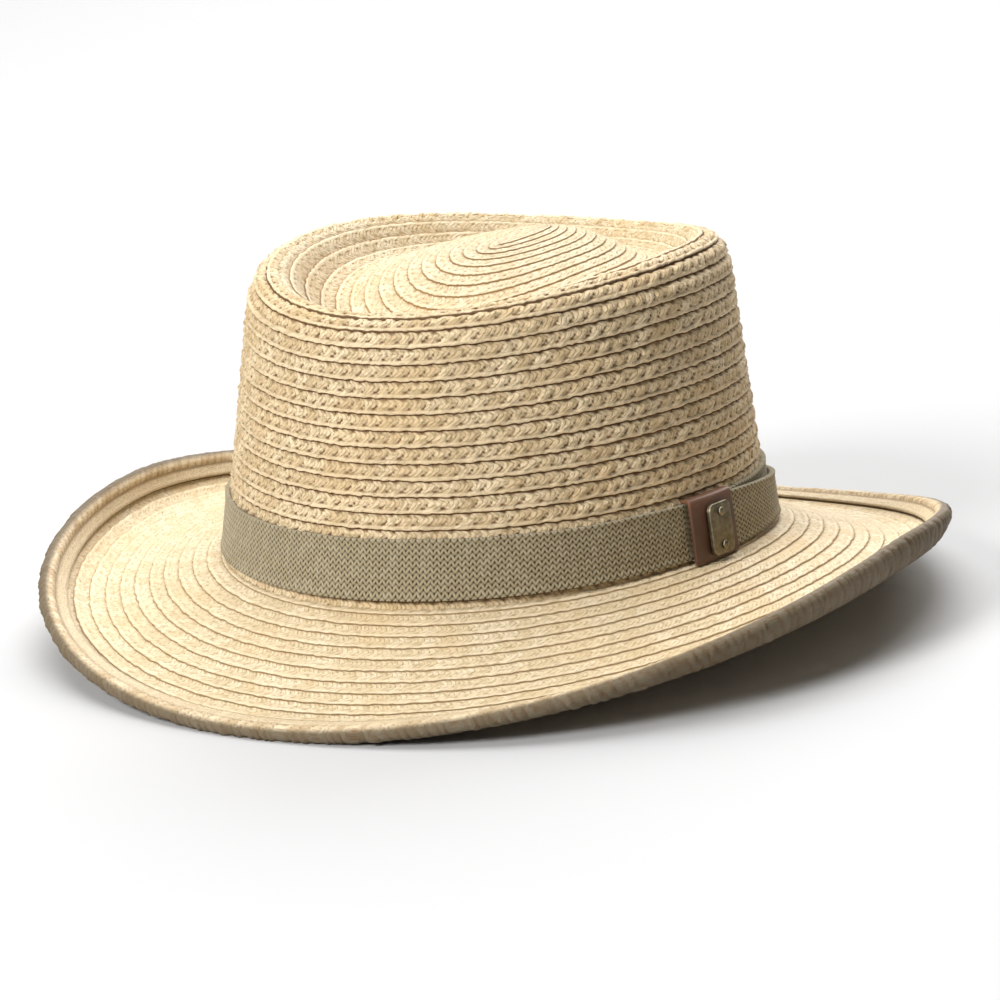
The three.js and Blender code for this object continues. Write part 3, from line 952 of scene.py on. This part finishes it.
class HAT_OT_keeper(bpy.types.Operator):
    """Wrap the leather keeper over the band, folded over its top edge, with rounded edges"""

    bl_idname = "hat.keeper"
    bl_label = "Leather keeper"

    def execute(self, context):
        s = shape()
        inside = 3 * s.gap + 2 * s.band_thickness
        outside = inside + s.leather
        over = s.gap + s.leather
        start = side_angle(s.keeper_front)
        end = side_angle(s.keeper_back)
        # Share of the way up the band, height past that and distance out from the crown.
        section = np.array(
            [
                (0, 0, outside),
                (0.5, 0, outside + 0.25 * MM),
                (1, s.gap, outside),
                (1, over - 0.3 * s.leather, outside - 0.2 * s.leather),
                (1, over, outside - 0.8 * s.leather),
                (1, over, inside),
                (1, over - 0.2 * s.leather, s.gap),
                (1, s.gap, s.gap),
                (1, s.gap, inside),
                (0, 0, inside),
            ]
        )

        def place(turn, lane):
            lane = lane % len(section)
            angle = start + (end - start) * turn
            climb, above, out = section[lane].T
            foot = clear_foot(angle, out) - 0.5 * BRIM_CLEARANCE
            points = wall_point(angle, foot + (band_top(angle) - foot) * climb + above, out)
            return points, 0 * angle + 1, climb, np.stack([turn * 3, climb * 2], axis=-1)

        keeper = grid_piece("keeper", KEEPER_COLUMNS, len(section), place)
        bpy.ops.object.mode_set(mode="EDIT")
        bpy.ops.mesh.select_all(action="DESELECT")
        bpy.ops.mesh.select_non_manifold()
        bpy.ops.mesh.edge_face_add()
        bpy.ops.mesh.select_all(action="SELECT")
        bpy.ops.mesh.normals_make_consistent(inside=False)
        bpy.ops.object.mode_set(mode="OBJECT")
        bevel = keeper.modifiers.new("Rounded edges", "BEVEL")
        bevel.width = KEEPER_BEVEL
        bevel.segments = 3
        bevel.limit_method = "ANGLE"
        bevel.angle_limit = KEEPER_SHARP
        bpy.ops.object.modifier_apply(modifier=bevel.name)
        dress(keeper, leather_material(), "leather_keeper")
        return {"FINISHED"}


class HAT_OT_plate(bpy.types.Operator):
    """Finish the plain metal plate and its two rivets in antique metal"""

    bl_idname = "hat.plate"
    bl_label = "Plate and rivets"

    def execute(self, context):
        for node in ("tab_plate", "rivet_lower", "rivet_upper"):
            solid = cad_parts[node]
            solid.data.materials.clear()
            solid.data.materials.append(metal_material())
        return {"FINISHED"}


# Materials.


class Wire:
    """A socket that adds its own maths nodes when it is used in an expression."""

    def __init__(self, tree, socket):
        self.tree = tree
        self.socket = socket

    def maths(self, operation, *values):
        node = self.tree.nodes.new("ShaderNodeMath")
        node.operation = operation
        for slot, value in zip(node.inputs, values):
            if isinstance(value, Wire):
                self.tree.links.new(value.socket, slot)
            else:
                slot.default_value = value
        return Wire(self.tree, node.outputs[0])

    def __add__(self, other):
        return self.maths("ADD", self, other)

    def __radd__(self, other):
        return self.maths("ADD", other, self)

    def __sub__(self, other):
        return self.maths("SUBTRACT", self, other)

    def __rsub__(self, other):
        return self.maths("SUBTRACT", other, self)

    def __mul__(self, other):
        return self.maths("MULTIPLY", self, other)

    def __rmul__(self, other):
        return self.maths("MULTIPLY", other, self)

    def __pow__(self, other):
        return self.maths("POWER", self, other)


class Finish:
    """A new material, built from nodes that are added one by one."""

    def __init__(self, name):
        self.material = bpy.data.materials.new(name)
        self.material.use_nodes = True
        self.tree = self.material.node_tree
        self.shader = self.tree.nodes["Principled BSDF"]

    def node(self, kind, output=0, settings=None, **inputs):
        """Adds a node. An input goes by its name, or as i and its number."""
        node = self.tree.nodes.new(kind)
        for key, value in (settings or {}).items():
            setattr(node, key, value)
        for key, value in inputs.items():
            numbered = key[0] == "i" and key[1:].isdigit()
            self.plug(node.inputs[int(key[1:]) if numbered else key.replace("_", " ")], value)
        return Wire(self.tree, node.outputs[output])

    def plug(self, socket, value):
        """Gives an input a node's output, a value, or one of the hat's colours by its name."""
        if isinstance(value, Wire):
            self.tree.links.new(value.socket, socket)
        elif isinstance(value, str):
            socket.default_value = (*getattr(bpy.context.scene.hat_colours, value), 1.0)
        else:
            socket.default_value = value

    def attribute(self, name):
        return self.node("ShaderNodeAttribute", output="Fac", settings={"attribute_name": name})

    def braid_map(self):
        """The braid's own coordinates, in leaves or stitches along it and in rows across it."""
        return self.node("ShaderNodeUVMap", settings={"uv_map": "braid"})

    def part(self, vector, index):
        return self.node("ShaderNodeSeparateXYZ", output=index, Vector=vector)

    def noise(self, vector, scale, detail=2.0, roughness=0.5):
        sizes = {"Scale": scale, "Detail": detail, "Roughness": roughness}
        return self.node("ShaderNodeTexNoise", Vector=vector, **sizes)

    def grain(self, vector, stretch, detail=2.0, roughness=0.5, scale=1.0):
        """Noise stretched along and across the braid."""
        stretched = self.node("ShaderNodeMapping", Vector=vector, Scale=(*stretch, 1.0))
        return self.noise(stretched, scale, detail, roughness)

    def mix(self, share, first, second):
        settings = {"data_type": "RGBA"}
        return self.node("ShaderNodeMix", output=2, settings=settings, i0=share, i6=first, i7=second)

    def smooth(self, value, start, end):
        """0 up to start and 1 from end on, with a smooth rise between them."""
        settings = {"interpolation_type": "SMOOTHSTEP"}
        return self.node("ShaderNodeMapRange", settings=settings, Value=value, i1=start, i2=end)

    def fall(self, value, start, end):
        return 1.0 - self.smooth(value, start, end)

    def bumps(self, strength, distance, height):
        return self.node("ShaderNodeBump", Strength=strength, Distance=distance, Height=height)

    def set(self, **values):
        for key, value in values.items():
            self.plug(self.shader.inputs[key.replace("_", " ")], value)


# Plainness of each straw, and the colours of its palest strands, of most of it and of its seams and painted
# shade.
# A plainness of 1 leaves only fine strands and thin seams, and 0 shows every leaf of the plait.
STRAWS = {
    "Plaited straw": (0.0, "straw_pale", "straw", "straw_painted_shade"),
    "Top straw": (0.45, "pressed_pale", "pressed", "straw_seam_and_shade"),
    "Pressed straw": (0.8, "pressed_pale", "pressed", "straw_seam_and_shade"),
}


@cache
def plaited_straw(name):
    """Dry plaited straw: strands of mixed tones, with painted shade in the pits between the leaves and
    painted shadow under the cord.
    """
    plainness, pale_colour, main_colour, seam_and_shade_colour = STRAWS[name]
    finish = Finish(name)
    flat = finish.braid_map()
    along = finish.part(flat, 0)
    row = finish.part(flat, 1)
    place = finish.node("ShaderNodeTexCoord", output="Object")
    fibres = finish.grain(flat, (9.0, 2.6), 2.0, 0.65)
    strands = finish.grain(flat, (3.1, 3.7), 2.0, 0.6)
    waver = finish.grain(flat, (1.3, 0.6), 1.0)
    knots = finish.grain(flat, (2.6, 0.5), 1.0)
    patches = finish.noise(place, 34.0, 2.0)
    across = row.maths("FRACT", row + (waver - 0.5) * 0.24 * plainness)
    # Painted shade where the braid is least open, down between the leaves.
    groove = finish.fall(finish.attribute("open"), 0.0, 0.75)
    cell = finish.node("ShaderNodeVectorMath", settings={"operation": "FLOOR"}, i0=flat)
    leaf = finish.node("ShaderNodeTexWhiteNoise", settings={"noise_dimensions": "2D"}, Vector=cell)
    over_cord = finish.fall(across, 0.68, 0.8)
    cord = finish.smooth(across, 0.74, 0.82) * finish.fall(across, 0.94, 0.99)
    # Painted shadow along each row's edge, on the cord's lower side and where the next row tucks in under
    # it.
    seam = finish.smooth(across, 0.95 + 0.01 * plainness, 0.995)
    under_cord_shadow = finish.fall(across, 0.0, 0.11 - 0.06 * plainness)
    stitched = finish.smooth(knots, 0.3 + 0.1 * plainness, 0.58)
    # Painted shade in the pits between the leaves, stronger or weaker for each leaf.
    pits = groove * over_cord * (0.5 + leaf * 0.45)
    straws = along.maths("ABSOLUTE", along.maths("FRACT", along * 3.0) * 2.0 - 1.0)
    splits = finish.smooth(straws, 0.62, 1.0) * over_cord
    pale = finish.mix(finish.smooth(fibres * 0.75 + leaf * 0.25, 0.34, 0.68), main_colour, pale_colour)
    greyed = finish.smooth(strands, 0.46, 0.66) * (0.8 - 0.3 * plainness)
    mixed = finish.mix(greyed, pale, "straw_dull")
    warm = finish.mix(finish.smooth(patches, 0.45, 0.75) * 0.35, mixed, "straw_warm")
    # Painted highlight along the cord.
    cord_highlight = finish.mix(cord * (0.45 - 0.3 * plainness) * (1.0 - splits * 0.5), warm, pale_colour)
    # Seam lines, dotted where the straw is pressed, together with the painted shadow under the cord.
    seams = (seam + under_cord_shadow) * 0.78 * (1.0 - plainness + stitched * plainness)
    # Painted shade in the pits and under the cord, with the seam lines and the dark splits between straws.
    shade_seams_and_splits = pits * (1.0 - 0.75 * plainness) + seams + splits * (0.25 - 0.15 * plainness)
    specks = finish.smooth(strands * 0.4 + fibres * 0.6, 0.54, 0.68) * (0.42 - 0.05 * plainness)
    deep = finish.mix(finish.node("ShaderNodeClamp", Value=shade_seams_and_splits + specks), cord_highlight, seam_and_shade_colour)
    low = splits * 0.35 + groove * over_cord * (0.7 - 0.6 * plainness)
    ridges = finish.bumps(0.85, 0.7 * MM, fibres * 0.5 + strands * 0.5 - low)
    finish.set(Base_Color=deep, Normal=ridges, Roughness=0.55 + fibres * 0.2)
    finish.set(Specular_IOR_Level=0.25)
    return finish.material


@cache
def edge_straw_material():
    """Coarse strands of the folded edge braid, with painted shade between them and over its turned-under
    side.
    """
    finish = Finish("Edge straw")
    flat = finish.braid_map()
    open_share = finish.attribute("open")
    tone = finish.attribute("tone")
    across = finish.part(flat, 1)
    fibres = finish.grain(flat, (4.0, 8.0), 3.0, 0.7)
    # Painted shade over the side that turns under the brim's edge.
    underside_shade = finish.smooth(across + fibres * 0.4, 1.7, 2.15)
    pressed = finish.fall(across, 0.95, 1.15)
    bleached = finish.smooth(fibres * 0.5 + tone * 0.5, 0.2, 0.66)
    fresh = finish.mix(bleached, "straw", "straw_pale")
    leaf = finish.mix(finish.smooth(fibres, 0.36, 0.6), "pressed_pale", "pressed")
    speckled = finish.mix(finish.smooth(fibres, 0.54, 0.7) * 0.5, leaf, "straw_seam_and_shade")
    flattened = finish.mix(pressed * 0.85, fresh, speckled)
    greyed = finish.smooth(fibres, 0.5, 0.66) * (0.55 - pressed * 0.1)
    dull = finish.mix(greyed, flattened, "straw_dull")
    # Painted shade mixed in over the underside.
    pale = finish.mix(underside_shade * 0.85, dull, "straw_underside_shade")
    # Painted shade between the strands, where they are least open.
    deep = finish.mix((1.0 - open_share) ** 1.6 * 0.8, pale, "straw_painted_shade")
    ridges = finish.bumps(0.8, 0.8 * MM, fibres)
    finish.set(Base_Color=deep, Normal=ridges, Roughness=0.6)
    finish.set(Specular_IOR_Level=0.25)
    return finish.material


@cache
def knit_material():
    """Soft grey-brown knitted yarn, with painted shade in the gaps at the corners of the stitches."""
    finish = Finish("Knitted yarn")
    flat = finish.braid_map()
    wale = finish.part(flat, 0)
    course = finish.part(flat, 1)
    tone = finish.attribute("tone")
    fluff = finish.grain(flat, (9.0, 5.0), 4.0, 0.7, 1.4)
    side = wale.maths("ABSOLUTE", wale.maths("FRACT", wale) * 2.0 - 1.0)
    climb = course.maths("FRACT", course - side * STITCH_CLIMB)
    from_leg = climb.maths("ABSOLUTE", climb * 2.0 - 1.0)
    corners = side.maths("ABSOLUTE", side * 2.0 - 1.0)
    # Painted shade in the gaps between the stitches' legs and at their corners.
    between = finish.smooth(from_leg, 0.3, 0.85) * (0.4 + finish.smooth(corners, 0.25, 0.8) * 0.6)
    yarn = finish.mix(between, "knit", "knit_gap_shade")
    mottled = finish.mix((tone - 0.5) * 0.4 + (fluff - 0.5) * 0.9, yarn, "knit_pale")
    fuzz = finish.bumps(0.5, 0.3 * MM, fluff * 0.5 - between)
    finish.set(Base_Color=mottled, Normal=fuzz, Roughness=0.95, Sheen_Weight=0.2, Specular_IOR_Level=0.15)
    return finish.material


@cache
def leather_material():
    """Smooth brown leather, paler towards the top of the keeper and in cloudy patches."""
    finish = Finish("Brown leather")
    place = finish.node("ShaderNodeTexCoord", output="Object")
    grain = finish.node("ShaderNodeTexVoronoi", settings={"feature": "F1"}, Vector=place, Scale=1500.0)
    clouds = finish.noise(place, 160.0, 3.0)
    level = finish.attribute("tone")
    # Paler towards the top of the keeper and in cloudy patches.
    paler_top = finish.mix(level**6 * 0.5 + (clouds - 0.45) * 0.6, "leather", "leather_paler")
    pores = finish.bumps(0.3, 0.1 * MM, grain)
    finish.set(Base_Color=paler_top, Normal=pores, Roughness=0.5)
    return finish.material


@cache
def metal_material():
    """Antique brass, bright on its raised edges and dark elsewhere."""
    finish = Finish("Antique metal")
    place = finish.node("ShaderNodeTexCoord", output="Object")
    edges = finish.node("ShaderNodeNewGeometry", output="Pointiness")
    patina = finish.noise(place, 420.0, 4.0, 0.65)
    share = finish.node("ShaderNodeClamp", Value=(edges - 0.47) * 6.0 + (patina - 0.5) * 1.4)
    metal = finish.mix(share, "metal_dark", "metal")
    scratches = finish.bumps(0.15, 0.1 * MM, patina)
    finish.set(Base_Color=metal, Metallic=1.0, Roughness=0.28 + patina * 0.3, Normal=scratches)
    return finish.material


@cache
def floor_material():
    """Plain pale studio floor."""
    finish = Finish("Studio floor")
    finish.set(Base_Color="floor", Roughness=0.9)
    return finish.material


# Studio.


# Soft lights: name, place, diameter and the setting that holds its power.
SOFTBOXES = (
    ("key_light", (-0.4, 0.5, 2.4), 2.6, "key_power"),
    ("side_light", (-0.5, -2.1, 1.35), 0.9, "side_power"),
    ("back_light", (-0.8, 3.6, 2.2), 3.0, "back_power"),
)

# Point that the lights face, strength of the light from all round, side of the square floor, width of
# the camera's sensor in millimetres, and how far away the camera still sees.
LIT_POINT = (0, 0, 0.06)
AIR_STRENGTH = 0.14
FLOOR_SIDE = 16
SENSOR_WIDTH = 36
SIGHT = 50


class HAT_OT_stage(bpy.types.Operator):
    """Set up the floor, the soft lights and the camera"""

    bl_idname = "hat.stage"
    bl_label = "Studio"

    def execute(self, context):
        self.floor()
        self.lights(context)
        self.camera(context)
        return {"FINISHED"}

    def floor(self):
        bpy.ops.object.select_all(action="DESELECT")
        bpy.ops.mesh.primitive_plane_add(size=FLOOR_SIDE)
        floor = bpy.context.object
        floor.name = "studio_floor"
        floor.data.materials.append(floor_material())

    def lights(self, context):
        for name, place, diameter, power in SOFTBOXES:
            bpy.ops.object.light_add(type="AREA", location=place)
            light = bpy.context.object
            light.name = name
            light.data.shape = "DISK"
            light.data.size = diameter
            light.data.energy = getattr(context.scene.hat_stage, power)
            aim = Vector(LIT_POINT) - Vector(place)
            light.rotation_euler = aim.to_track_quat("-Z", "Y").to_euler()
        world = bpy.data.worlds.new("Studio air")
        world.use_nodes = True
        background = world.node_tree.nodes["Background"]
        background.inputs["Color"].default_value = (1, 1, 1, 1)
        background.inputs["Strength"].default_value = AIR_STRENGTH
        context.scene.world = world
        context.scene.view_settings.view_transform = "Standard"

    def camera(self, context):
        stage = context.scene.hat_stage
        target = Vector((0, hat_shift(), stage.target_height))
        away = Vector((math.sin(stage.azimuth), -math.cos(stage.azimuth), 0)) * math.cos(stage.elevation)
        back = away + Vector((0, 0, math.sin(stage.elevation)))
        right = Vector((math.cos(stage.azimuth), math.sin(stage.azimuth), 0))
        up = back.cross(right)
        turned_right = right * math.cos(stage.roll) + up * math.sin(stage.roll)
        turned_up = up * math.cos(stage.roll) - right * math.sin(stage.roll)
        place = Matrix((turned_right, turned_up, back)).transposed().to_4x4()
        place.translation = target + back * stage.distance
        bpy.ops.object.camera_add()
        camera = bpy.context.object
        camera.name = "photo_camera"
        camera.matrix_world = place
        camera.data.lens = stage.lens
        camera.data.sensor_width = SENSOR_WIDTH
        camera.data.shift_x = stage.shift_x
        camera.data.shift_y = stage.shift_y
        camera.data.clip_end = SIGHT
        context.scene.camera = camera


class HAT_PT_panel(bpy.types.Panel):
    """Lists the hat's pieces and the sizes that they follow"""

    bl_idname = "HAT_PT_panel"
    bl_label = "Straw gambler hat"
    bl_space_type = "VIEW_3D"
    bl_region_type = "UI"
    bl_category = "Hat"

    def draw(self, context):
        column = self.layout.column(align=True)
        for operator in OPERATORS:
            column.operator(operator.bl_idname)
        for label, group in PROPERTY_GROUPS.items():
            settings = getattr(context.scene, label)
            box = self.layout.box()
            for name in group.__annotations__:
                box.prop(settings, name)


PROPERTY_GROUPS = {
    "hat_shape": HatShape,
    "hat_braid": BraidSettings,
    "hat_colours": HatColours,
    "hat_stage": StageSettings,
}
OPERATORS = (
    HAT_OT_stage,
    HAT_OT_crown_wall,
    HAT_OT_crown_top,
    HAT_OT_brim,
    HAT_OT_edge_braid,
    HAT_OT_band,
    HAT_OT_keeper,
    HAT_OT_plate,
)


def register():
    for group in PROPERTY_GROUPS.values():
        bpy.utils.register_class(group)
    for operator in OPERATORS:
        bpy.utils.register_class(operator)
    bpy.utils.register_class(HAT_PT_panel)
    for label, group in PROPERTY_GROUPS.items():
        setattr(bpy.types.Scene, label, PointerProperty(type=group))


def unregister():
    for label in PROPERTY_GROUPS:
        delattr(bpy.types.Scene, label)
    for known in (HAT_PT_panel, *reversed(OPERATORS), *reversed(PROPERTY_GROUPS.values())):
        bpy.utils.unregister_class(known)


def main():
    register()
    for operator in OPERATORS:
        group, name = operator.bl_idname.split(".")
        getattr(getattr(bpy.ops, group), name)()
    bpy.context.view_layer.update()


if __name__ == "__main__":
    main()
